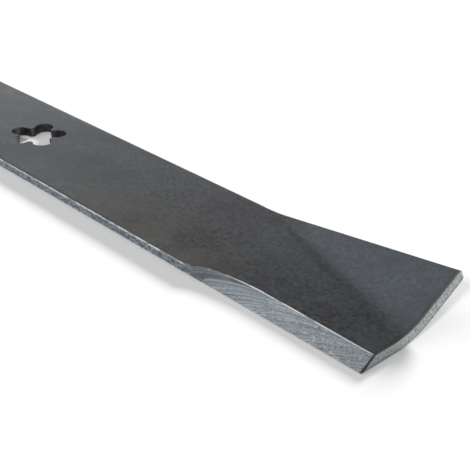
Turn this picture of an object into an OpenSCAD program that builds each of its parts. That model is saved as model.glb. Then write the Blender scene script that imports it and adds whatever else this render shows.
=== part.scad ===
// Rotary mower blade with a star-shaped hub hole, ground cutting edges and air-lift sails.
// One bar of flat steel: pressed up at two corners, ground at two edges, punched at the hub.
// X runs along the blade, Y across it, Z up. The origin is the hub centre on the underside.
// Each feature is described at the tip on +X; the other tip is the same, turned by half a turn.

/* [Bar] */
// Length of the blade from tip to tip
blade_length = 470; // [420:1:560]
// Width of the bar
bar_width = 57; // [50:0.5:70]
// Thickness of the bar
bar_thickness = 4.3; // [3.5:0.1:6]
// Radius of the long edges at the top face
top_edge_radius = 0.7; // [0.3:0.1:1.6]
// Radius of the long edges at the underside
bottom_edge_radius = 0.3; // [0.2:0.1:1.2]

/* [Cutting edge] */
// Width of the ground bevel, seen from above
bevel_run = 7.1; // [5:0.1:10]
// Length of the ground bevel along the front edge, with its run-out
bevel_length = 85; // [70:1:110]
// Length of the curved run-out at the inner end of the bevel
runout_length = 37.5; // [20:0.5:55]

/* [Air-lift sail] */
// Distance from the tip to the point where the fold crosses the back edge
sail_length = 101; // [80:1:120]
// Angle between the fold and the length of the bar
fold_angle = 17.4; // [14:0.2:22]
// Angle by which the sail is turned up
sail_angle = 28.2; // [16:0.2:36]
// Inner radius of the fold where it crosses the back edge
fold_radius_back = 5.8; // [4:0.1:10]
// Inner radius of the fold at the tip
fold_radius_tip = 36; // [16:1:42]

/* [Hub hole] */
// Number of lobes of the star
star_points = 5; // [4:1:6]
// Distance from the hub centre to the end of a lobe
star_reach = 14.4; // [13.5:0.1:17]
// Distance from the hub centre to the crown of the teeth between the lobes
star_root = 8.4; // [7.5:0.1:9.5]
// Radius of the round end of a lobe
lobe_radius = 4.4; // [3.4:0.1:4.6]

/* [Hidden] */
steel_grey = [0.33, 0.34, 0.35];
$fn = 96;

half_length = blade_length / 2;
half_width = bar_width / 2;

// Flat facets along each fold and round each long edge
fold_steps = 18;
corner_steps = 5;

// How far a cutter stands clear of the steel
clear = 5;

// The fold starts on the back edge and runs towards the tip and the front edge
fold_start = [half_length - sail_length, half_width];
along_fold = [cos(fold_angle), -sin(fold_angle)];
across_fold = [sin(fold_angle), cos(fold_angle)];
fold_run = sail_length / cos(fold_angle);
radius_growth = (fold_radius_tip - fold_radius_back) / fold_run;
tangent_factor = tan(sail_angle / 2);

// Depth below the top face at which the steel keeps its length in the fold
neutral_share = 0.45;
neutral_depth = neutral_share * bar_thickness;

// The bevel starts where the lower edge radius meets the underside
cutting_edge_y = bottom_edge_radius - half_width;
bevel_angle = atan2(bar_thickness, bevel_run);

// The wheel reaches a little past the bevel, so that only the run-out ends in a wall
wheel_overlap = 0.15;
runout_centre_x = half_length - bevel_length + runout_length;
runout_width = bottom_edge_radius + bevel_run + wheel_overlap;
runout_steps = 16;

// The circle of each tooth overlaps its two lobe circles by a hair, so the star has no real corners
blend_overlap = 0.01;
lobe_centre = star_reach - lobe_radius;
lobe_gap = star_root - lobe_radius + blend_overlap;
tooth_centre = (lobe_centre ^ 2 - lobe_gap ^ 2) / (2 * (lobe_centre * cos(180 / star_points) - lobe_gap));
tooth_radius = tooth_centre - star_root;

function arc_length(radius, angle) = radius * angle * PI / 180;
function fold_radius(u) = fold_radius_back + radius_growth * u;

// Distance across the flat bar from the fold to the line that ends up bent by the angle,
// and how fast that distance grows along the fold
function across_share(angle) = arc_length(1, angle) - tangent_factor;
function flat_across(u, angle) = fold_radius(u) * across_share(angle) + arc_length(neutral_depth, angle);
function across_growth(angle) = radius_growth * across_share(angle);

// Place along the fold where the line bent by the angle meets the back edge or the tip
function u_at_back(angle, inset) =
    (inset + flat_across(0, angle) * across_fold.y)
    / (-along_fold.y - across_growth(angle) * across_fold.y);
function u_at_tip(angle) =
    (sail_length - flat_across(0, angle) * across_fold.x)
    / (along_fold.x + across_growth(angle) * across_fold.x);

// Point of the pressed bar: along the fold, bent by an angle, then straight on over the sail
function pressed(u, angle, onward, depth) =
    let (
        radius = fold_radius(u),
        swing = radius + depth,
        across = swing * sin(angle) + onward * cos(angle) - radius * tangent_factor,
        plan = fold_start + u * along_fold + across * across_fold
    )
    [plan.x, plan.y, bar_thickness + radius - swing * cos(angle) + onward * sin(angle)];

// Rounded long edge from the top face to the underside: inset from the side and depth
edge_profile = [
    for (i = [0:corner_steps])
        let (a = 90 * i / corner_steps)
        top_edge_radius * [1 - sin(a), 1 - cos(a)],
    for (i = [0:corner_steps])
        let (a = 90 * i / corner_steps)
        [bottom_edge_radius * (1 - cos(a)), bar_thickness - bottom_edge_radius * (1 - sin(a))]
];
edge_last = len(edge_profile) - 1;

// Section of the bar along one line of the fold, from the tip over the back edge and back
function fold_section(angle) = [
    pressed(u_at_tip(angle), angle, 0, 0),
    for (e = edge_profile) pressed(u_at_back(angle, e[0]), angle, 0, e[1]),
    pressed(u_at_tip(angle), angle, 0, bar_thickness)
];
section_count = edge_last + 3;

// Outer corner of the sail, where the back edge meets the tip
function sail_corner(inset, depth) =
    let (
        from_start = [half_length, half_width - inset] - fold_start,
        u = from_start * along_fold,
        onward = from_start * across_fold - flat_across(u, sail_angle)
    )
    pressed(u, sail_angle, onward, depth);

tip_points = [
    for (i = [0:fold_steps], p = fold_section(sail_angle * i / fold_steps)) p,
    for (e = edge_profile) sail_corner(e[0], e[1]),
    for (e = edge_profile) [half_length, e[0] - half_width, bar_thickness - e[1]]
];
tip_count = len(tip_points);

// Places of the points in the list: tip end 0 or 1, then the section, the sail corner, the front
function at_fold(tip, i, j) = tip * tip_count + i * section_count + j % section_count;
function at_corner(tip, j) = at_fold(tip, fold_steps + 1, 0) + j;
function at_front(tip, j) = at_corner(tip, edge_last + 1) + j;

// Faces of one tip: the fold, the sail and the flat part of the end face
function tip_faces(tip) = [
    for (i = [0:fold_steps - 1], j = [0:section_count - 1])
        [at_fold(tip, i, j), at_fold(tip, i, j + 1), at_fold(tip, i + 1, j + 1), at_fold(tip, i + 1, j)],
    [at_fold(tip, fold_steps, 0), at_fold(tip, fold_steps, 1), at_corner(tip, 0)],
    for (j = [0:edge_last - 1])
        [
            at_fold(tip, fold_steps, j + 1), at_fold(tip, fold_steps, j + 2),
            at_corner(tip, j + 1), at_corner(tip, j)
        ],
    [
        at_fold(tip, fold_steps, edge_last + 1), at_fold(tip, fold_steps, edge_last + 2),
        at_corner(tip, edge_last)
    ],
    [
        at_fold(tip, fold_steps, edge_last + 2), at_fold(tip, fold_steps, 0),
        for (j = [0:edge_last]) at_corner(tip, j)
    ],
    [at_fold(tip, 0, 0), at_fold(tip, 0, edge_last + 2), for (j = [edge_last:-1:0]) at_front(tip, j)]
];

// Long edge from the fold of one tip to the front corner of the other
function side_faces(tip) = [
    for (j = [0:edge_last - 1])
        [at_fold(tip, 0, j + 1), at_front(1 - tip, j), at_front(1 - tip, j + 1), at_fold(tip, 0, j + 2)]
];

// Flat faces between the folds
top_face = [for (tip = [1, 0]) each [at_fold(tip, 0, 1), at_fold(tip, 0, 0), at_front(tip, 0)]];
underside = [
    for (tip = [0, 1])
        each [at_front(tip, edge_last), at_fold(tip, 0, edge_last + 2), at_fold(tip, 0, edge_last + 1)]
];

// The bar with its long edges rounded and its sails pressed up
module pressed_bar() {
    polyhedron(
        points = [each tip_points, for (p = tip_points) [-p.x, -p.y, p.z]],
        faces = [
            top_face,
            underside,
            for (tip = [0, 1]) each tip_faces(tip),
            for (tip = [0, 1]) each side_faces(tip)
        ],
        convexity = 6
    );
}

// Steel ground away over the cutting edge, down to the plane of the bevel
module ground_plane() {
    translate([0, cutting_edge_y, 0])
        rotate([bevel_angle, 0, 0])
            translate([0, -bar_width, 0])
                cube([half_length + clear, 2 * bar_width, bar_width]);
}

// Reach of the grinding wheel: an elliptical run-out, then straight on past the tip
module runout_outline() {
    past_tip = half_length + clear - runout_centre_x;
    polygon([
        [-runout_length, -clear],
        for (i = [0:runout_steps])
            let (a = 90 * i / runout_steps)
            [-runout_length * cos(a), runout_width * sin(a)],
        [past_tip, runout_width],
        [past_tip, -clear]
    ]);
}

module bevel_cut() {
    intersection() {
        ground_plane();
        translate([runout_centre_x, -half_width, -clear])
            linear_extrude(height = bar_thickness + 2 * clear)
                runout_outline();
    }
}

module star_outline() {
    sector = 360 / star_points;
    function on_circle(radius, i) = radius * [cos(sector * i - 90), sin(sector * i - 90)];
    difference() {
        union() {
            polygon([for (i = [0:star_points - 1]) each [
                on_circle(lobe_centre, i),
                on_circle(tooth_centre, i + 0.5)
            ]]);
            for (i = [0:star_points - 1])
                translate(on_circle(lobe_centre, i)) circle(r = lobe_radius);
        }
        for (i = [0:star_points - 1])
            translate(on_circle(tooth_centre, i + 0.5)) circle(r = tooth_radius);
    }
}

module star_hole() {
    translate([0, 0, -clear])
        linear_extrude(height = bar_thickness + 2 * clear)
            star_outline();
}

module blade() {
    color(steel_grey)
    difference() {
        pressed_bar();
        for (turn = [0, 180])
            rotate([0, 0, turn]) bevel_cut();
        star_hole();
    }
}

blade();
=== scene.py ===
"""Looks of a rotary mower blade: dark scaled steel with ground cutting edges and a punched star hole."""

import math

import bmesh
import bpy
import numpy as np
from mathutils import Matrix, Vector, noise


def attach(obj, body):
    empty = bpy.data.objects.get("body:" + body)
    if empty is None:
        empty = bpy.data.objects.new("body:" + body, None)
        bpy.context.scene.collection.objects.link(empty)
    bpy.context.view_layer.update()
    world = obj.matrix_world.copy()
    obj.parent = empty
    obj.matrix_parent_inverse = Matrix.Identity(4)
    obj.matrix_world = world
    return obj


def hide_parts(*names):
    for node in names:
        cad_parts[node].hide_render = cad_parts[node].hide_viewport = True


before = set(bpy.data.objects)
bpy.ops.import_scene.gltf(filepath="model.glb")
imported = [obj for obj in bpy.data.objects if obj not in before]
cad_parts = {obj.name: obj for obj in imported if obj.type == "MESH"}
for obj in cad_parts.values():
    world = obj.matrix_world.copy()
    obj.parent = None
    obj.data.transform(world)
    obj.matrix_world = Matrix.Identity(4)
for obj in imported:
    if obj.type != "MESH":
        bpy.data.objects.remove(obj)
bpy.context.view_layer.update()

# Sizes of the blade in millimetres and radians, as in the construction
MM = 0.001
HALF_LENGTH = 235.0
HALF_WIDTH = 28.5
THICKNESS = 4.3
BOTTOM_RADIUS = 0.3
BEVEL_RUN = 7.1
BEVEL_LENGTH = 85.0
RUNOUT_LENGTH = 37.5
WHEEL_OVERLAP = 0.15
SAIL_LENGTH = 101.0
FOLD_ANGLE = math.radians(17.4)
SAIL_ANGLE = math.radians(28.2)
FOLD_RADIUS_BACK = 5.8
FOLD_RADIUS_TIP = 36.0
NEUTRAL_SHARE = 0.45
STAR_POINTS = 5
STAR_REACH = 14.4
STAR_ROOT = 8.4
LOBE_RADIUS = 4.4

# Small forms that tools and wear leave on the steel, in millimetres
TOP_RADIUS = 1.0
RIM_WIDTH = 0.25
BEVEL_NARROWING = 0.5
WHEEL_RADIUS = 87.0
RUNOUT_SLANT = 8.6
RUNOUT_LEAD = 3.5
TOUCH_LENGTH = 2.0
EASE_BEFORE = 6.0
EASE_AFTER = 3.0
TIP_ROUND = 0.22
SAIL_CORNER_RADIUS = 1.2
SAIL_CORNER_LENGTH = 60.0
HOLE_ROUND = 0.3
HOLE_TAPER = 0.12
NICK_DEPTH = 0.3
MILL_RELIEF = 0.12
WHEEL_RELIEF = 0.02
SHEAR_RELIEF = 0.06

# Where the punch stops cutting and the steel breaks, as shares of the thickness and the taper
CUT_SHARE = 0.4
BREAK_SHARE = 0.55
BREAK_TAPER = 0.6

# Values that follow from the sizes
FOLD_X = HALF_LENGTH - SAIL_LENGTH
COS_FOLD = math.cos(FOLD_ANGLE)
SIN_FOLD = math.sin(FOLD_ANGLE)
RADIUS_GROWTH = (FOLD_RADIUS_TIP - FOLD_RADIUS_BACK) * COS_FOLD / SAIL_LENGTH
HALF_TANGENT = math.tan(SAIL_ANGLE / 2)
NEUTRAL_DEPTH = NEUTRAL_SHARE * THICKNESS
CREASE = BOTTOM_RADIUS + BEVEL_RUN
RUNOUT_WIDTH = CREASE + WHEEL_OVERLAP
RUNOUT_START = HALF_LENGTH - BEVEL_LENGTH
RUNOUT_END = RUNOUT_START + RUNOUT_LENGTH
CUT_START = RUNOUT_START - RUNOUT_LEAD
CUT_END = CUT_START + RUNOUT_SLANT
SIDE_HEIGHT = THICKNESS - TOP_RADIUS - BOTTOM_RADIUS

# Radius that the cone of the fold keeps where it runs out beyond the back edge
SMALLEST_FOLD = 1.0

# Rows of the long edges, the wide faces and the rounded edge of the end face
ARC_ROWS = 4
EDGE_ROWS = 12
SIDE_ROWS = 5
CORNER_ROWS = 5
# Rows of the rounding with the bare worn steel and its painted highlight
WORN_HIGHLIGHT_ROWS = 3
FACE_ROWS = 44
TIP_ROWS = 4

# Rows at which the front, the top, the back and the underside end, once round the section
FRONT = EDGE_ROWS + SIDE_ROWS + CORNER_ROWS
TOP = FRONT + FACE_ROWS
BACK = TOP + FRONT
RING = BACK + FACE_ROWS

# Patch round the hub, whose border has as many points as the outline of the star
HUB_REACH = 28.0
HUB_STEPS = 13
HUB_LAYERS = 10
HUB_GRADING = 1.5
HOLE_ROWS = 5
LOBE_STEPS = 20
TOOTH_STEPS = 2 * (FACE_ROWS + 2 * HUB_STEPS) // STAR_POINTS - LOBE_STEPS

# Rows along the bar in millimetres: where they get closer, their steps, and the last before the tip
CLOSER_FROM = 110.0
PLAIN_STEP = 2.5
FOLD_STEP = 1.0
RUNOUT_STEP = 0.5
BEVEL_STEP = 0.75
BEFORE_TIP = 1.5
LAST_ROWS = [1.3, 0.9, 0.6, 0.4]

# Distance in metres at which points are joined, and the angle from which an edge looks sharp
JOIN_DISTANCE = 1e-6
SHARP_ANGLE = math.radians(35)

# Finishes, in the order of the material slots
SCALE, MILL, WORN_HIGHLIGHT, GROUND, SHEARED, PUNCHED = range(6)


def smooth_step(low, high, value):
    """From 0 to 1 as the value goes from low to high, with soft ends."""
    share = np.clip((value - low) / (high - low), 0, 1)
    return share * share * (3 - 2 * share)


def press(x, y, depth):
    """Points of the flat blank, turned up where they lie beyond the fold of the tip on +X."""
    along = (x - FOLD_X) * COS_FOLD - (y - HALF_WIDTH) * SIN_FOLD
    across = (x - FOLD_X) * SIN_FOLD + (y - HALF_WIDTH) * COS_FOLD
    radius = np.maximum(FOLD_RADIUS_BACK + RADIUS_GROWTH * along, SMALLEST_FOLD)
    angle = np.clip((across + radius * HALF_TANGENT) / (radius + NEUTRAL_DEPTH), 0, SAIL_ANGLE)
    bent_width = radius * (SAIL_ANGLE - HALF_TANGENT) + NEUTRAL_DEPTH * SAIL_ANGLE
    onward = np.maximum(across - bent_width, 0)
    swing = radius + depth
    bent = swing * np.sin(angle) + onward * np.cos(angle) - radius * HALF_TANGENT
    bent = np.where(angle > 0, bent, across)
    height = THICKNESS + radius - swing * np.cos(angle) + onward * np.sin(angle)
    plan_x = FOLD_X + along * COS_FOLD + bent * SIN_FOLD
    plan_y = HALF_WIDTH - along * SIN_FOLD + bent * COS_FOLD
    return np.stack([plan_x, plan_y, height], axis=-1)


def wheel_reach(x):
    """How far the grinding wheel has cut into the top face from the front edge, seen from above."""
    first_touch = RIM_WIDTH * smooth_step(CUT_START, CUT_START + TOUCH_LENGTH, x)
    from_end = min((x - RUNOUT_END) / RUNOUT_LENGTH, 0)
    oval = RUNOUT_WIDTH * math.sqrt(max(1 - from_end ** 2, 0))
    return max(first_touch, oval * smooth_step(RUNOUT_START - EASE_BEFORE, RUNOUT_START + EASE_AFTER, x))


def crease_at(x):
    """Where the bevel meets the top face, in from the side: a little less towards the tip."""
    return CREASE - BEVEL_NARROWING * smooth_step(RUNOUT_END, HALF_LENGTH, x)


def rim_reach(x):
    """How far the ground face reaches in from the side, seen from above."""
    return min(wheel_reach(x), crease_at(x))


def nick(x):
    """Small wear of the cutting edge, in from the side."""
    coarse = noise.noise((0.23 * x, 3.7, 0.0))
    fine = noise.noise((1.1 * x, 8.1, 0.0))
    return NICK_DEPTH * min(max(1.6 * coarse - 0.35, 0) + 0.35 * max(fine, 0), 1)


def lower_edge(bottom_radius, rows, height):
    """Rounded lower edge and the side above it up to a height, as inset from the side and depth."""
    turn = np.linspace(0, math.pi / 2, ARC_ROWS + 1)
    side = np.linspace(THICKNESS - bottom_radius, THICKNESS - height, rows - ARC_ROWS + 1)[1:]
    inset = np.append(bottom_radius * (1 - np.sin(turn)), 0 * side)
    depth = np.append(THICKNESS - bottom_radius * (1 - np.cos(turn)), side)
    return inset, depth


def plain_edge(bottom_radius):
    """Long edge of the bar from the underside to the top face."""
    turn = np.linspace(0, math.pi / 2, CORNER_ROWS + 1)[1:]
    inset, depth = lower_edge(bottom_radius, EDGE_ROWS + SIDE_ROWS, THICKNESS - TOP_RADIUS)
    inset = np.append(inset, TOP_RADIUS * (1 - np.cos(turn)))
    depth = np.append(depth, TOP_RADIUS * (1 - np.sin(turn)))
    return inset, depth


def bevel(x, reach):
    """The nicked bevel from the cutting edge to the foot of the wall that the wheel has left."""
    wheel_foot = RUNOUT_WIDTH * math.sqrt(1 - min((x - CUT_END) / RUNOUT_LENGTH - 1, 0) ** 2)
    foot = max(min(wheel_foot, reach - 4 * RIM_WIDTH), BOTTOM_RADIUS + RIM_WIDTH)
    slope = THICKNESS / (crease_at(x) - BOTTOM_RADIUS)
    inset = np.linspace(BOTTOM_RADIUS, foot, EDGE_ROWS + 1)
    depth = THICKNESS - slope * (inset - BOTTOM_RADIUS)
    wear = min(nick(x), foot - BOTTOM_RADIUS) * np.linspace(1, 0, EDGE_ROWS + 1) ** 3
    return inset + wear, depth


def ground_edge(x):
    """Front edge where the wheel has cut in: the side or the bevel, then the wall and its rim."""
    reach = rim_reach(x)
    if x < CUT_END:
        side_left = SIDE_HEIGHT * (CUT_END - x) / RUNOUT_SLANT
        inset, depth = lower_edge(BOTTOM_RADIUS, EDGE_ROWS - ARC_ROWS, BOTTOM_RADIUS + side_left)
    else:
        inset, depth = bevel(x, reach)
    rim_depth = TOP_RADIUS - math.sqrt(TOP_RADIUS ** 2 - max(TOP_RADIUS - reach, 0) ** 2)
    foot = np.array([inset[-1], depth[-1]])
    corner = np.array([reach, rim_depth])
    below = corner + (foot - corner) * min(RIM_WIDTH / np.linalg.norm(foot - corner), 0.5)
    inner = np.array([max(reach + RIM_WIDTH, TOP_RADIUS), 0])
    wall = foot + (below - foot) * np.linspace(0, 1, FRONT - CORNER_ROWS - len(inset) + 2)[1:, None]
    share = np.linspace(0, 1, CORNER_ROWS + 1)[1:, None]
    rim = (1 - share) ** 2 * below + 2 * share * (1 - share) * corner + share ** 2 * inner
    inset = np.concatenate([inset, wall[:, 0], rim[:, 0]])
    depth = np.concatenate([depth, wall[:, 1], rim[:, 1]])
    return inset, depth


def spread(start, end):
    """Rows across a wide face, closer together near both ends."""
    share = np.linspace(-1, 1, FACE_ROWS + 1)
    share = (share + np.sin(math.pi * share) / (2 * math.pi) + 1) / 2
    return start + (end - start) * share


def section(x):
    """The bar's section at one place, once round from the cutting edge: across and depth."""
    sail = smooth_step(HALF_LENGTH - SAIL_CORNER_LENGTH, HALF_LENGTH, x)
    front = ground_edge(x) if x > CUT_START else plain_edge(BOTTOM_RADIUS)
    back = plain_edge(BOTTOM_RADIUS + (SAIL_CORNER_RADIUS - BOTTOM_RADIUS) * sail)
    front_y = front[0] - HALF_WIDTH
    back_y = HALF_WIDTH - back[0][::-1]
    top_y = spread(front_y[-1], back_y[0])[1:-1]
    under_y = spread(back_y[-1], front_y[0])[1:]
    y = np.concatenate([front_y, top_y, back_y, under_y])
    depth = np.concatenate([front[1], 0 * top_y, back[1][::-1], 0 * under_y + THICKNESS])
    return y, depth


def stations():
    """Places along the bar beyond the hub, close together at the fold, the run-out and the tip."""
    plain = np.arange(HUB_REACH, CLOSER_FROM, PLAIN_STEP)
    fold = np.arange(CLOSER_FROM, CUT_START, FOLD_STEP)
    runout = np.arange(CUT_START, RUNOUT_END, RUNOUT_STEP)
    straight = np.arange(RUNOUT_END, HALF_LENGTH - BEFORE_TIP, BEVEL_STEP)
    tip = HALF_LENGTH - np.array(LAST_ROWS)
    return np.concatenate([plain, fold, runout, straight, tip])


def drawn_in(y, depth, amount):
    """A section drawn in by a small amount, square to its own line."""
    step_y = np.roll(y[:-1], -1) - np.roll(y[:-1], 1)
    step_depth = np.roll(depth[:-1], -1) - np.roll(depth[:-1], 1)
    size = np.hypot(step_y, step_depth)
    in_y = y[:-1] - amount * step_depth / size
    in_depth = depth[:-1] + amount * step_y / size
    return np.append(in_y, in_y[0]), np.append(in_depth, in_depth[0])


class Shell:
    """Collects grids of points into one mesh, with their places on the blank and their finishes."""

    def __init__(self):
        self.points = []
        self.places = []
        self.faces = []
        self.finishes = []
        self.count = 0

    def add(self, points, x, y, depth, finish):
        """Adds a grid of points, with one finish or one for each of its faces."""
        rows, columns = points.shape[:2]
        index = np.arange(rows * columns).reshape(rows, columns) + self.count
        corners = [index[:-1, :-1], index[1:, :-1], index[1:, 1:], index[:-1, 1:]]
        self.points.append(points.reshape(-1, 3))
        self.places.append(np.stack([x, y, depth], axis=-1).reshape(-1, 3))
        self.faces.append(np.stack(corners, axis=-1).reshape(-1, 4))
        self.finishes.append(np.broadcast_to(finish, (rows - 1, columns - 1)).ravel())
        self.count += rows * columns

    def add_turned_copy(self):
        """Adds all that is there once more, turned by half a turn about the hub."""
        half_turn = np.array([-1, -1, 1])
        self.points += [points * half_turn for points in self.points]
        self.places += self.places
        self.faces += [faces + self.count for faces in self.faces]
        self.finishes += self.finishes
        self.count *= 2


def strip_finish(x):
    """Finish of each strip round the section at one place along the bar."""
    worn_highlight_start = FRONT - CORNER_ROWS - 1
    finish = np.full(RING, SCALE)
    finish[:worn_highlight_start] = MILL
    # Bare worn steel that is also a painted highlight along the lower part of the top rounding
    finish[worn_highlight_start:worn_highlight_start + WORN_HIGHLIGHT_ROWS] = WORN_HIGHLIGHT
    finish[TOP + CORNER_ROWS:BACK] = MILL
    if x >= CUT_END:
        finish[:FRONT - 1] = GROUND
    elif x >= CUT_START:
        finish[EDGE_ROWS - ARC_ROWS:FRONT - 1] = GROUND
    return finish


def across_end(ring):
    """Values over the end face as a grid, filled in between the values round its rim."""
    front, top = ring[:FRONT + 1, None], ring[None, FRONT:TOP + 1]
    back, under = ring[TOP:BACK + 1][::-1, None], ring[None, BACK:][:, ::-1]
    up = np.linspace(0, 1, FRONT + 1)[:, None]
    over = np.linspace(0, 1, FACE_ROWS + 1)[None, :]
    from_sides = front * (1 - over) + back * over
    from_faces = under * (1 - up) + top * up
    from_corners = (front[0] * (1 - over) + back[0] * over) * (1 - up)
    from_corners = from_corners + (front[-1] * (1 - over) + back[-1] * over) * up
    return from_sides + from_faces - from_corners


def add_arm(shell):
    """The bar from the hub patch to one tip, with its end face."""
    places = list(stations())
    sections = [section(x) for x in places]
    finishes = [strip_finish(x) for x in places]
    end_section = section(HALF_LENGTH)
    for angle in np.linspace(0, math.pi / 2, TIP_ROWS):
        places.append(HALF_LENGTH - TIP_ROUND * (1 - math.sin(angle)))
        sections.append(drawn_in(*end_section, TIP_ROUND * (1 - math.cos(angle))))
        finishes.append(np.where(finishes[-1] == GROUND, SCALE, finishes[-1]))
    y = np.array([outline[0] for outline in sections])
    depth = np.array([outline[1] for outline in sections])
    x = np.broadcast_to(np.array(places)[:, None], y.shape)
    shell.add(press(x, y, depth), x, y, depth, np.array(finishes[:-1]))
    end_y, end_depth = across_end(y[-1]), across_end(depth[-1])
    end_x = np.full(end_y.shape, HALF_LENGTH)
    shell.add(press(end_x, end_y, end_depth), end_x, end_y, end_depth, SHEARED)


def add_hub_sides(shell):
    """The two long edges beside the hub, for one arm."""
    y, depth = section(0)
    x = np.linspace(0, HUB_REACH, HUB_STEPS + 1)[:, None]
    for rows in (slice(0, FRONT + 1), slice(TOP, BACK + 1)):
        across = np.broadcast_to(y[rows], (HUB_STEPS + 1, FRONT + 1))
        along = np.broadcast_to(x, across.shape)
        finish = strip_finish(0)[rows][:FRONT]
        down = depth[rows] + 0 * along
        shell.add(press(along, across, down), along, across, down, finish)


def hub_border(inset):
    """Rim of the flat hub patch, once round to the left, starting at its front corner on +X."""
    half = HALF_WIDTH - inset
    across = spread(-half, half)
    along = np.linspace(HUB_REACH, -HUB_REACH, 2 * HUB_STEPS + 1)
    right = np.stack([np.full(FACE_ROWS, HUB_REACH), across[:-1]], axis=-1)
    back = np.stack([along[:-1], np.full(2 * HUB_STEPS, half)], axis=-1)
    return np.concatenate([right, back, -right, -back])


def star(growth):
    """Outline of the star hole from round lobes and teeth, made larger all round by the growth."""
    sector = 2 * math.pi / STAR_POINTS
    lobe_centre = STAR_REACH - LOBE_RADIUS
    gap = STAR_ROOT - LOBE_RADIUS
    tooth_centre = (lobe_centre ** 2 - gap ** 2) / (2 * (lobe_centre * math.cos(sector / 2) - gap))
    tooth = tooth_centre * np.array([math.cos(sector / 2), math.sin(sector / 2)])
    meeting = math.atan2(tooth[1], tooth[0] - lobe_centre)
    lobe_turn = np.linspace(-meeting, meeting, LOBE_STEPS, endpoint=False)
    tooth_turn = np.linspace(meeting, sector - meeting, TOOTH_STEPS, endpoint=False) + math.pi
    lobe_arc = (LOBE_RADIUS + growth) * np.stack([np.cos(lobe_turn), np.sin(lobe_turn)], axis=-1)
    tooth_size = tooth_centre - STAR_ROOT - growth
    tooth_arc = tooth_size * np.stack([np.cos(tooth_turn), np.sin(tooth_turn)], axis=-1)
    point = np.concatenate([lobe_arc + [lobe_centre, 0], tooth_arc + tooth])
    outline = []
    for i in range(STAR_POINTS):
        turn = sector * i - math.pi / 2
        spin = np.array([[math.cos(turn), math.sin(turn)], [-math.sin(turn), math.cos(turn)]])
        outline.append(point @ spin)
    return np.concatenate(outline)


def hole_profile():
    """Wall of the punched hole from the top down, as growth of the star and depth."""
    turns = np.linspace(0, math.pi / 2, HOLE_ROWS)
    rolled_rim = [(HOLE_ROUND * (1 - math.sin(a)), HOLE_ROUND * (1 - math.cos(a))) for a in turns]
    cut = (0, CUT_SHARE * THICKNESS)
    broken = (BREAK_TAPER * HOLE_TAPER, BREAK_SHARE * THICKNESS)
    return [*rolled_rim, cut, broken, (HOLE_TAPER, THICKNESS)]


def add_hub(shell):
    """The flat faces round the hub and the wall of the punched hole, with its rounded upper rim."""
    growths, depths = zip(*hole_profile())
    top_rim = hub_border(TOP_RADIUS)
    bottom_rim = hub_border(BOTTOM_RADIUS)
    outlines = [star(growth) for growth in growths]
    matches = [np.sum(top_rim * np.roll(outlines[0], k, axis=0)) for k in range(len(top_rim))]
    outlines = [np.roll(outline, int(np.argmax(matches)), axis=0) for outline in outlines]
    graded = np.linspace(1, 0, HUB_LAYERS + 1)[:, None, None] ** HUB_GRADING
    top = outlines[0] + (top_rim - outlines[0]) * graded
    bottom = outlines[-1] + (bottom_rim - outlines[-1]) * graded[::-1]
    for loops, levels, finish in (
        (top, [0] * len(top), SCALE),
        (np.array(outlines), depths, PUNCHED),
        (bottom, [THICKNESS] * len(bottom), SCALE),
    ):
        loops = np.concatenate([loops, loops[:, :1]], axis=1)
        x, y = loops[..., 0], loops[..., 1]
        depth = np.array(levels)[:, None] + 0 * x
        shell.add(np.stack([x, y, THICKNESS - depth], axis=-1), x, y, depth, finish)


def surface_measures(x, y, depth):
    """Measures of the surface in millimetres that the finishes go by, from places on the blank."""
    from_side = HALF_WIDTH - np.abs(y)
    below_crease = depth * math.hypot(1, BEVEL_RUN / THICKNESS)
    up_side = np.clip((THICKNESS - BOTTOM_RADIUS - depth) / SIDE_HEIGHT, 0, 1)
    return {
        "from_tip": HALF_LENGTH - np.abs(x),
        "from_side": from_side,
        "from_front": HALF_WIDTH + y * np.clip(x / HUB_REACH, -1, 1),
        "from_top": depth,
        "from_rim": from_side - np.array([rim_reach(along) for along in x]) * (y < 0),
        "past_start": np.where(y < 0, x - CUT_END + RUNOUT_SLANT * up_side, -HALF_LENGTH),
        "wheel_travel": x - CUT_END + np.sqrt(below_crease * (2 * WHEEL_RADIUS - below_crease)),
    }


def build_mesh(shell):
    """One closed mesh of the blade, with its finishes and the measures that its materials use."""
    mesh = bpy.data.meshes.new("blade_steel")
    points = np.concatenate(shell.points)
    mesh.from_pydata((points * MM).tolist(), [], np.concatenate(shell.faces).tolist())
    mesh.polygons.foreach_set("material_index", np.concatenate(shell.finishes))
    for name, values in surface_measures(*np.concatenate(shell.places).T).items():
        mesh.attributes.new(name, "FLOAT", "POINT").data.foreach_set("value", values)
    joined = bmesh.new()
    joined.from_mesh(mesh)
    bmesh.ops.remove_doubles(joined, verts=joined.verts, dist=JOIN_DISTANCE)
    bmesh.ops.recalc_face_normals(joined, faces=joined.faces)
    if joined.calc_volume(signed=True) < 0:
        bmesh.ops.reverse_faces(joined, faces=joined.faces)
    joined.to_mesh(mesh)
    joined.free()
    return mesh


def finish_of_points(mesh):
    """The finish of each point whose faces all share one, and plain scale for the others."""
    corners = np.empty(len(mesh.loops), int)
    sizes = np.empty(len(mesh.polygons), int)
    finishes = np.empty(len(mesh.polygons), int)
    mesh.loops.foreach_get("vertex_index", corners)
    mesh.polygons.foreach_get("loop_total", sizes)
    mesh.polygons.foreach_get("material_index", finishes)
    at_corners = np.repeat(finishes, sizes)
    lowest = np.full(len(mesh.vertices), PUNCHED)
    highest = np.full(len(mesh.vertices), SCALE)
    np.minimum.at(lowest, corners, at_corners)
    np.maximum.at(highest, corners, at_corners)
    return np.where(lowest == highest, lowest, SCALE)


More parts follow.
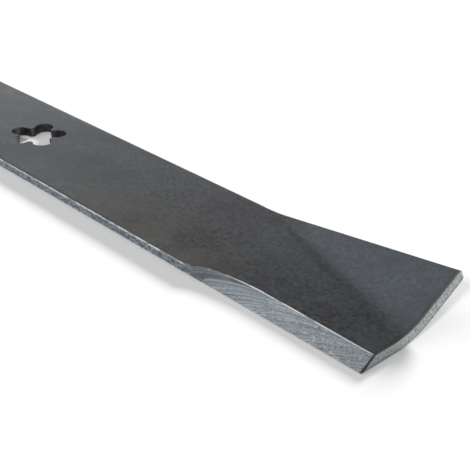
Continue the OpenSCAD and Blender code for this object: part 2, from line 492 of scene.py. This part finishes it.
def wear_down(mesh):
    """Moves points inwards a little: rough mill edges, wheel marks and the tears of the shear."""
    points = np.empty((len(mesh.vertices), 3))
    normals = np.empty((len(mesh.vertices), 3))
    travels = np.empty(len(mesh.vertices))
    mesh.vertices.foreach_get("co", points.ravel())
    mesh.vertices.foreach_get("normal", normals.ravel())
    mesh.attributes["wheel_travel"].data.foreach_get("value", travels)
    # Depth of each relief, and where its noise is read for a place in millimetres and a wheel travel
    marks = {
        MILL: (MILL_RELIEF, lambda x, y, z, travel: (0.35 * x, 0.8 * y, 0.8 * z)),
        GROUND: (WHEEL_RELIEF, lambda x, y, z, travel: (0.25 * travel, 0.02 * x, 0.5)),
        SHEARED: (SHEAR_RELIEF, lambda x, y, z, travel: (0.1 * x, 0.9 * y, 0.15 * z)),
    }
    for i, finish in enumerate(finish_of_points(mesh)):
        if finish in marks:
            deepest, spot = marks[finish]
            height = noise.noise(spot(*points[i] / MM, travels[i]))
            points[i] -= normals[i] * deepest * (0.5 + 0.5 * height) * MM
    mesh.vertices.foreach_set("co", points.ravel())


class Nodes:
    """Short ways to add nodes to a node tree."""

    def __init__(self, tree):
        self.tree = tree

    def feed(self, socket, value):
        """Links an input to another node's output, or sets it to a plain value."""
        if isinstance(value, bpy.types.NodeSocket):
            self.tree.links.new(value, socket)
        else:
            socket.default_value = value

    def node(self, kind, inputs=(), **settings):
        """A new node with its settings, and with values or links for its first inputs."""
        node = self.tree.nodes.new(kind)
        for name, value in settings.items():
            setattr(node, name, value)
        for socket, value in zip(node.inputs, inputs):
            if value is not None:
                self.feed(socket, value)
        return node

    def math(self, operation, *values):
        """Result of one operation on values."""
        return self.node("ShaderNodeMath", values, operation=operation).outputs[0]

    def product(self, first, *others):
        """Values multiplied with each other."""
        for other in others:
            first = self.math("MULTIPLY", first, other)
        return first

    def largest(self, first, *others):
        """The largest of some values."""
        for other in others:
            first = self.math("MAXIMUM", first, other)
        return first

    def fade(self, value, low, high):
        """From 0 to 1 as the value goes from low to high."""
        node = self.node("ShaderNodeMapRange", (value, low, high), interpolation_type="SMOOTHSTEP")
        return node.outputs[0]

    def steps(self, value, span, stops):
        """Grey levels at places along a value that runs from 0 to the span."""
        node = self.node("ShaderNodeValToRGB", (self.math("DIVIDE", value, span),))
        points = node.color_ramp.elements
        while len(points) < len(stops):
            points.new(1)
        for point, (place, level) in zip(points, stops):
            point.position = place / span
            point.color = (level, level, level, 1)
        return node.outputs[0]

    def blend(self, share, first, second):
        """Mix of two colours."""
        node = self.node("ShaderNodeMix", data_type="RGBA")
        for socket, value in ((0, share), (6, first), (7, second)):
            is_colour = socket > 0 and not isinstance(value, bpy.types.NodeSocket)
            self.feed(node.inputs[socket], (*value, 1) if is_colour else value)
        return node.outputs[2]


class Finish(Nodes):
    """A steel finish in the making: its material, and its colour so far. Lengths are in millimetres."""

    def __init__(self, name, metallic):
        self.material = bpy.data.materials.new(name)
        self.material.use_nodes = True
        super().__init__(self.material.node_tree)
        self.shader = self.tree.nodes["Principled BSDF"]
        self.shader.inputs["Metallic"].default_value = metallic
        self.place = self.node("ShaderNodeTexCoord").outputs["Object"]
        self.colour = None

    def measure(self, name):
        """A measure of the surface, from surface_measures."""
        return self.node("ShaderNodeAttribute", attribute_name=name).outputs["Fac"]

    def grain(self, size, detail=3, stretch=(1, 1, 1)):
        """Noise with features of a size, drawn out along an axis by the stretch."""
        squeeze = [1 / factor for factor in stretch]
        vector = self.node("ShaderNodeVectorMath", (self.place, squeeze), operation="MULTIPLY")
        node = self.node("ShaderNodeTexNoise", (vector.outputs[0], None, 1 / (size * MM), detail))
        return node.outputs["Fac"]

    def lines(self, value, size, detail):
        """Noise along one measure only, which gives lines of a width."""
        node = self.node("ShaderNodeTexNoise", (None, value, 1 / size, detail), noise_dimensions="1D")
        return node.outputs["Fac"]

    def streaks(self, value, size, length):
        """Broken lines along the bar, with a width across one measure and a length."""
        across = self.math("DIVIDE", value, size)
        along = self.math("DIVIDE", self.measure("from_tip"), length)
        vector = self.node("ShaderNodeCombineXYZ", (across, along)).outputs[0]
        node = self.node("ShaderNodeTexNoise", (vector, None, 1.0, 3), noise_dimensions="2D")
        return node.outputs["Fac"]

    def base(self, share, dark, light):
        """Starts the colour as a mix of a dark and a light tone."""
        self.colour = self.blend(share, dark, light)

    def tint(self, share, colour):
        """Lays another colour over the colour so far, by a share."""
        self.colour = self.blend(share, self.colour, colour)

    def done(self, roughness, height, relief):
        """Joins colour, roughness and a relief of a depth to the shader."""
        bump = self.node("ShaderNodeBump")
        bump.inputs["Distance"].default_value = relief * MM
        self.feed(bump.inputs["Height"], height)
        self.feed(self.shader.inputs["Base Color"], self.colour)
        self.feed(self.shader.inputs["Roughness"], roughness)
        self.feed(self.shader.inputs["Normal"], bump.outputs["Normal"])
        return self.material


def scale_finish():
    """Dark satin scale, brown and rusty along the front, made paler by painted sheen on the sail, by the
    hub and at the tip.
    """
    finish = Finish("dark_scale", 0.75)
    from_tip = finish.measure("from_tip")
    from_front = finish.measure("from_front")
    fine = finish.grain(1.6, 2)
    cloud = finish.grain(28, 4)
    sail = finish.product(finish.fade(from_front, 12, 40), finish.fade(from_tip, 95, 60))
    bluish = finish.largest(sail, finish.fade(from_tip, 120, 170))
    dark = finish.blend(bluish, (0.050, 0.051, 0.055), (0.047, 0.054, 0.062))
    light = finish.blend(bluish, (0.110, 0.111, 0.118), (0.100, 0.116, 0.131))
    finish.base(finish.fade(fine, 0.25, 0.75), dark, light)
    dull = finish.fade(finish.grain(3.5, 3), 0.3, 0.75)
    finish.tint(finish.product(dull, 0.3), (0.052, 0.058, 0.064))
    smudge = finish.fade(finish.grain(8, 4, (2.5, 1, 1)), 0.42, 0.66)
    finish.tint(finish.product(smudge, 0.45), (0.044, 0.048, 0.052))
    before_hub = finish.product(finish.fade(from_tip, 55, 95), finish.fade(from_tip, 215, 130))
    brown = finish.product(finish.fade(cloud, 0.25, 0.65), before_hub, finish.fade(from_front, 36, 0))
    finish.tint(finish.product(brown, 0.8), (0.108, 0.105, 0.092))
    rust = finish.product(finish.fade(from_tip, 80, 120), finish.fade(from_front, 15, 3))
    rust = finish.product(rust, finish.fade(finish.grain(6, 3, (2, 1, 1)), 0.52, 0.66))
    finish.tint(finish.product(rust, 0.4), (0.165, 0.142, 0.108))
    # Painted sheen: paler tone on the sail, by the hub and at the tip
    by_hub = finish.product(finish.fade(from_tip, 150, 215), finish.fade(from_front, 34, 6))
    painted_sheen = finish.largest(sail, finish.fade(from_tip, 26, 4), by_hub)
    finish.tint(finish.product(painted_sheen, 0.3), (0.118, 0.132, 0.146))
    add_scale_borders(finish, from_tip)
    roughness = finish.fade(finish.math("ADD", fine, cloud), -1.4, 4.9)
    return finish.done(roughness, fine, 0.002)


def add_scale_borders(finish, from_tip):
    """Dark borders of the scale at the tip and along the ground rim, and the burr round the end face."""
    finish.tint(finish.product(finish.fade(from_tip, 2.4, 0.8), 0.3), (0.036, 0.031, 0.026))
    from_top = finish.measure("from_top")
    burr = finish.blend(finish.fade(from_top, 0.5, 0.25), (0.02, 0.02, 0.022), (0.17, 0.155, 0.128))
    burr = finish.blend(finish.fade(from_top, 3.8, 4.0), burr, (0.15, 0.165, 0.175))
    finish.tint(finish.fade(from_tip, 0.6, 0.3), burr)
    at_rim = finish.fade(finish.measure("from_rim"), 1.1, 0.4)
    finish.tint(finish.product(at_rim, 0.4), (0.024, 0.025, 0.026))


def mill_finish():
    """Rough rolled edge of the bar, blue-grey with dark pits, darker towards the run-out, with a painted
    shadow line along its border.
    """
    finish = Finish("mill_edge", 0.7)
    mottle = finish.grain(0.9, 3, (1.6, 1, 1))
    finish.base(finish.fade(mottle, 0.36, 0.64), (0.115, 0.134, 0.156), (0.36, 0.395, 0.43))
    finish.tint(finish.fade(finish.grain(0.8, 2), 0.64, 0.74), (0.06, 0.06, 0.06))
    past_start = finish.measure("past_start")
    # Darker towards the border of the run-out
    finish.tint(finish.product(finish.fade(past_start, -7, -0.5), 0.55), (0.10, 0.115, 0.13))
    # Painted shadow: a dark line along the border of the run-out
    finish.tint(finish.fade(past_start, -0.9, -0.3), (0.03, 0.032, 0.035))
    return finish.done(finish.fade(mottle, -0.8, 1.6), mottle, 0.04)


def worn_highlight_finish():
    """Bare rounded edges, worn bright, whose tone is also a painted highlight along the lower part of
    the rounding.
    """
    finish = Finish("worn_edge_highlight", 1.0)
    breaks = finish.grain(1.4, 4, (2.5, 1, 1))
    finish.base(finish.fade(breaks, 0.36, 0.62), (0.28, 0.325, 0.345), (0.62, 0.68, 0.70))
    return finish.done(finish.fade(breaks, 1.6, -1.2), breaks, 0.03)


def ground_finish():
    """Bright ground steel with the curved marks that the wheel leaves as it moves along."""
    finish = Finish("ground_bevel", 1.0)
    travel = finish.measure("wheel_travel")
    from_tip = finish.measure("from_tip")
    past_start = finish.measure("past_start")
    wavy = finish.math("MULTIPLY_ADD", finish.grain(12, 2), 1.5, travel)
    marks = finish.streaks(wavy, 1.4, 45)
    texture = finish.product(finish.grain(0.6, 3), 0.3)
    texture = finish.math("MULTIPLY_ADD", finish.streaks(wavy, 0.55, 20), 0.25, texture)
    texture = finish.math("MULTIPLY_ADD", marks, 0.45, texture)
    finish.base(finish.fade(texture, 0.40, 0.60), (0.17, 0.19, 0.205), (0.43, 0.48, 0.515))
    violet = finish.fade(finish.grain(9, 2), 0.5, 0.7)
    finish.tint(finish.product(violet, 0.3), (0.27, 0.285, 0.36))
    add_first_cuts(finish, travel, past_start, marks)
    add_spots(finish, from_tip)
    touch = finish.product(finish.fade(past_start, 26, 12), finish.fade(travel, 37, 31))
    finish.tint(finish.product(touch, 0.4), (0.42, 0.44, 0.46))
    add_painted_rim_highlight(finish, from_tip, past_start)
    finish.tint(finish.product(finish.fade(from_tip, 40, 0), 0.3), (0.16, 0.17, 0.18))
    finish.tint(finish.product(finish.fade(from_tip, 1.2, 0.6), 0.85), (0.04, 0.042, 0.046))
    roughness = finish.largest(finish.fade(texture, -0.5, 1.9), finish.product(touch, 0.75))
    return finish.done(roughness, texture, 0.008)


def add_first_cuts(finish, travel, past_start, marks):
    """Dark bands in the run-out, where the wheel first cut in."""
    bands = finish.steps(travel, 60, [
        (12.0, 0.2), (19.8, 0.2), (22.2, 0.0), (25.2, 0.7), (27.0, 0.95), (29.4, 0.6), (30.6, 0.95),
        (32.4, 0.9), (34.2, 0.1), (35.7, 0.0), (37.2, 0.6), (39.0, 0.3), (44.4, 0.1), (51.0, 0.0),
    ])
    bands = finish.product(bands, finish.fade(past_start, 0.3, 1.5), finish.fade(marks, 0.30, 0.55))
    finish.tint(bands, (0.085, 0.090, 0.098))


def add_spots(finish, from_tip):
    """Dark pits near the cutting edge and the tip, and painted glint specks towards the tip."""
    pits = finish.fade(finish.grain(0.8, 3), 0.56, 0.70)
    near_edge = finish.fade(finish.measure("from_side"), 4.5, 0.3)
    pits = finish.product(pits, finish.largest(near_edge, finish.fade(from_tip, 65, 5)))
    finish.tint(pits, (0.10, 0.10, 0.11))
    # Painted glint: bright specks towards the tip
    painted_glint_specks = finish.fade(finish.grain(1.1, 2, (1.6, 1, 1)), 0.56, 0.68)
    finish.tint(finish.product(painted_glint_specks, finish.fade(from_tip, 80, 10), 0.5), (0.62, 0.66, 0.69))


def add_painted_rim_highlight(finish, from_tip, past_start):
    """Painted highlight: a bright broken line where the bevel meets the top face, glinting only in
    specks along the run-out.
    """
    # Painted glint specks along the run-out
    painted_rim_glints = finish.fade(finish.grain(1.2, 2, (2, 1, 1)), 0.50, 0.62)
    painted_rim_glints = finish.product(painted_rim_glints, finish.fade(past_start, 5, 9))
    # Painted highlight along the rim, broken by noise
    rim = finish.fade(finish.measure("from_rim"), -0.5, -0.1)
    rim = finish.product(rim, finish.largest(finish.fade(from_tip, 75, 58), painted_rim_glints))
    rim = finish.product(rim, finish.fade(finish.grain(2.2, 3, (3, 1, 1)), 0.30, 0.52))
    finish.tint(rim, (0.72, 0.76, 0.79))


def sheared_finish():
    """End that was cut off in a shear, pale with fine upright tear marks and a burr line below."""
    finish = Finish("sheared_end", 0.9)
    tears = finish.lines(finish.measure("from_side"), 0.5, 4)
    texture = finish.math("ADD", tears, finish.grain(0.9, 3))
    finish.base(finish.fade(texture, 0.75, 1.25), (0.20, 0.219, 0.221), (0.54, 0.582, 0.580))
    burr_levels = [(0.0, 0.0), (3.4, 0.0), (3.57, 0.5), (3.7, 0.5), (3.87, 0.0)]
    burr = finish.steps(finish.measure("from_top"), THICKNESS, burr_levels)
    finish.tint(burr, (0.11, 0.12, 0.13))
    return finish.done(finish.fade(texture, -0.9, 3.0), texture, 0.02)


def punched_finish():
    """Wall of the punched hole, dark with upright drag marks, lighter at two sides by a painted
    reflection.
    """
    finish = Finish("punched_wall", 1.0)
    drag = finish.grain(0.5, 3, (1, 1, 10))
    finish.base(finish.fade(drag, 0.35, 0.65), (0.036, 0.037, 0.041), (0.145, 0.145, 0.153))
    axes = finish.node("ShaderNodeSeparateXYZ", (finish.place,)).outputs
    # Painted reflection: two sides of the wall made lighter, as where they mirror the lit floor
    painted_sheen = (0.29, 0.31, 0.32)
    finish.tint(finish.fade(axes["Y"], -7 * MM, -10 * MM), painted_sheen)
    finish.tint(finish.fade(axes["X"], -13.2 * MM, -14.6 * MM), painted_sheen)
    return finish.done(finish.fade(drag, -0.8, 1.6), drag, 0.03)


def make_blade():
    """The blade as one piece: two arms that match by half a turn, joined by the hub."""
    shell = Shell()
    add_arm(shell)
    add_hub_sides(shell)
    shell.add_turned_copy()
    add_hub(shell)
    mesh = build_mesh(shell)
    wear_down(mesh)
    mesh.shade_smooth()
    mesh.set_sharp_from_angle(angle=SHARP_ANGLE)
    for make_finish in (
        scale_finish, mill_finish, worn_highlight_finish, ground_finish, sheared_finish, punched_finish
    ):
        mesh.materials.append(make_finish())
    blade = bpy.data.objects.new("blade_steel", mesh)
    bpy.context.scene.collection.objects.link(blade)
    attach(blade, "root")
    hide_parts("blade")


# Viewpoint of the photograph: turn and height of the view, roll, place in metres, focal length
VIEW_TURN = math.radians(46.988)
VIEW_HEIGHT = math.radians(28.11)
VIEW_ROLL = math.radians(0.432)
VIEW_PLACE = Vector((398.85, -237.73, 191.36)) * MM
SENSOR = 36.0
FOCAL_PIXELS = 989.2
IMAGE_PIXELS = 470
CLIP_START = 0.01


def make_camera():
    """The camera at the viewpoint of the photograph."""
    data = bpy.data.cameras.new("view")
    data.sensor_width = SENSOR
    data.lens = FOCAL_PIXELS * SENSOR / IMAGE_PIXELS
    data.clip_start = CLIP_START
    camera = bpy.data.objects.new("view", data)
    level = Matrix.Rotation(VIEW_TURN, 4, "Z") @ Matrix.Rotation(math.pi / 2 - VIEW_HEIGHT, 4, "X")
    camera.matrix_world = Matrix.Translation(VIEW_PLACE) @ level @ Matrix.Rotation(VIEW_ROLL, 4, "Z")
    bpy.context.scene.collection.objects.link(camera)
    bpy.context.scene.camera = camera


# Studio: a low soft key from behind, a soft fill beside the camera, white walls and one soft box
KEY_FROM = Vector((-0.22, 0.93, 0.335))
KEY_LEVEL = 0.48
KEY_SPREAD = math.radians(11.5)
FILL_FROM = Vector((0.295, -0.765, 0.575))
FILL_LEVEL = 0.26
FILL_SPREAD = math.radians(9)
SOFT_LEVEL = 0.74
WALL_LEVELS = [(0, 1.0), (0.34, 1.0), (0.49, 0.14), (1, 0.2)]
BOX_FROM = Vector((-0.64, -0.08, 0.76)).normalized()
BOX_EDGE = math.radians(37)
BOX_CORE = math.radians(25)
WHITE = (1, 1, 1)

# Floor: size and drop in metres, its colour, and the fill that brings it to white
FLOOR_SIZE = 6.0
FLOOR_DROP = 0.0002
FLOOR_COLOUR = (0.9, 0.9, 0.9, 1)
FLOOR_FILL = 0.05


def make_lamp(name, source, level, spread):
    """A far lamp that gives the floor its share of light, and no glare on the steel."""
    data = bpy.data.lights.new(name, "SUN")
    data.angle = spread
    data.energy = level * math.pi / source.normalized().z
    lamp = bpy.data.objects.new(name, data)
    lamp.rotation_euler = source.to_track_quat("Z", "Y").to_euler()
    lamp.visible_glossy = False
    bpy.context.scene.collection.objects.link(lamp)


def make_world():
    """White for the camera. The steel mirrors walls that darken upwards and a soft box."""
    world = bpy.data.worlds.new("studio")
    world.use_nodes = True
    bpy.context.scene.world = world
    nodes = Nodes(world.node_tree)
    direction = nodes.node("ShaderNodeTexCoord").outputs["Generated"]
    height = nodes.node("ShaderNodeSeparateXYZ", (direction,)).outputs["Z"]
    walls = nodes.steps(height, 1, WALL_LEVELS)
    toward_box = nodes.node("ShaderNodeVectorMath", (direction, BOX_FROM), operation="DOT_PRODUCT")
    in_box = nodes.fade(toward_box.outputs["Value"], math.cos(BOX_EDGE), math.cos(BOX_CORE))
    path = nodes.node("ShaderNodeLightPath").outputs
    seen = nodes.largest(path["Is Camera Ray"], path["Is Transmission Ray"])
    mirrored = nodes.largest(seen, path["Is Glossy Ray"])
    background = nodes.tree.nodes["Background"]
    nodes.feed(background.inputs["Color"], nodes.blend(nodes.largest(seen, in_box), walls, WHITE))
    strength = nodes.node("ShaderNodeMapRange", (mirrored, 0, 1, SOFT_LEVEL, 1))
    nodes.feed(background.inputs["Strength"], strength.outputs[0])


def make_floor():
    """White floor that keeps the shadow; a little fill for the camera brings the rest to white."""
    bpy.ops.mesh.primitive_plane_add(size=FLOOR_SIZE, location=(0, 0, -FLOOR_DROP))
    floor = bpy.context.object
    floor.name = "floor"
    material = bpy.data.materials.new("floor_white")
    material.use_nodes = True
    nodes = Nodes(material.node_tree)
    inputs = nodes.tree.nodes["Principled BSDF"].inputs
    inputs["Base Color"].default_value = FLOOR_COLOUR
    inputs["Roughness"].default_value = 1.0
    inputs["Specular IOR Level"].default_value = 0.0
    inputs["Emission Color"].default_value = (*WHITE, 1)
    seen = nodes.node("ShaderNodeLightPath").outputs["Is Camera Ray"]
    nodes.feed(inputs["Emission Strength"], nodes.product(seen, FLOOR_FILL))
    floor.data.materials.append(material)


make_camera()
make_blade()
make_lamp("key", KEY_FROM, KEY_LEVEL, KEY_SPREAD)
make_lamp("fill", FILL_FROM, FILL_LEVEL, FILL_SPREAD)
make_world()
make_floor()
bpy.context.scene.view_settings.view_transform = "Standard"
